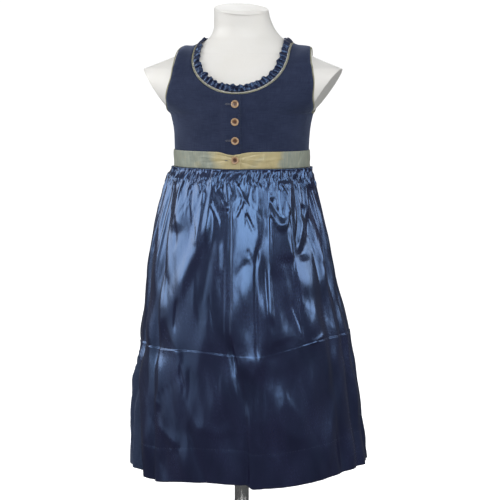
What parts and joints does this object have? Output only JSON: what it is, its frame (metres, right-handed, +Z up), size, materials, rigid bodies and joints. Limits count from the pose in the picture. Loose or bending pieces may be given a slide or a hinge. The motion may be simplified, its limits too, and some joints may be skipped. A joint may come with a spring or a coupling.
{
  "type": "child's dirndl on a dress form",
  "caption": "Sleeveless buttoned dirndl with gathered satin apron and neck ruffle, worn on a headless, armless dress form with post and round base.",
  "frame": {"origin": "centre of the base plate's underside, on the floor", "axes": "+Z up along the post; the figure faces -Y, and +X is on the figure's left"},
  "size_m": [0.3642, 0.2933, 0.8531],
  "materials": {
    "form": "smooth warm white moulded shell",
    "steel": "polished metal",
    "navy_linen": "matte plain-woven linen blend",
    "satin": "lustrous crinkled satin",
    "taffeta": "shot green and gold taffeta",
    "horn": "polished horn, brown with a pale rim"
  },
  "bodies": {
    "root": {"form_torso": "form", "form_flange": "steel", "post": "steel", "base_plate": "steel", "base_boss": "steel", "bodice_front_right": "navy_linen", "bodice_front_left": "navy_linen", "bodice_back": "navy_linen", "neck_piping": "taffeta", "neck_ruffle": "satin", "armhole_piping_left": "taffeta", "armhole_piping_right": "taffeta", "waistband": "taffeta", "button_1": "horn", "button_2": "horn", "button_3": "horn", "button_4": "horn", "skirt_front": "navy_linen", "skirt_back": "navy_linen", "apron": "satin"}
  },
  "joints": []
}
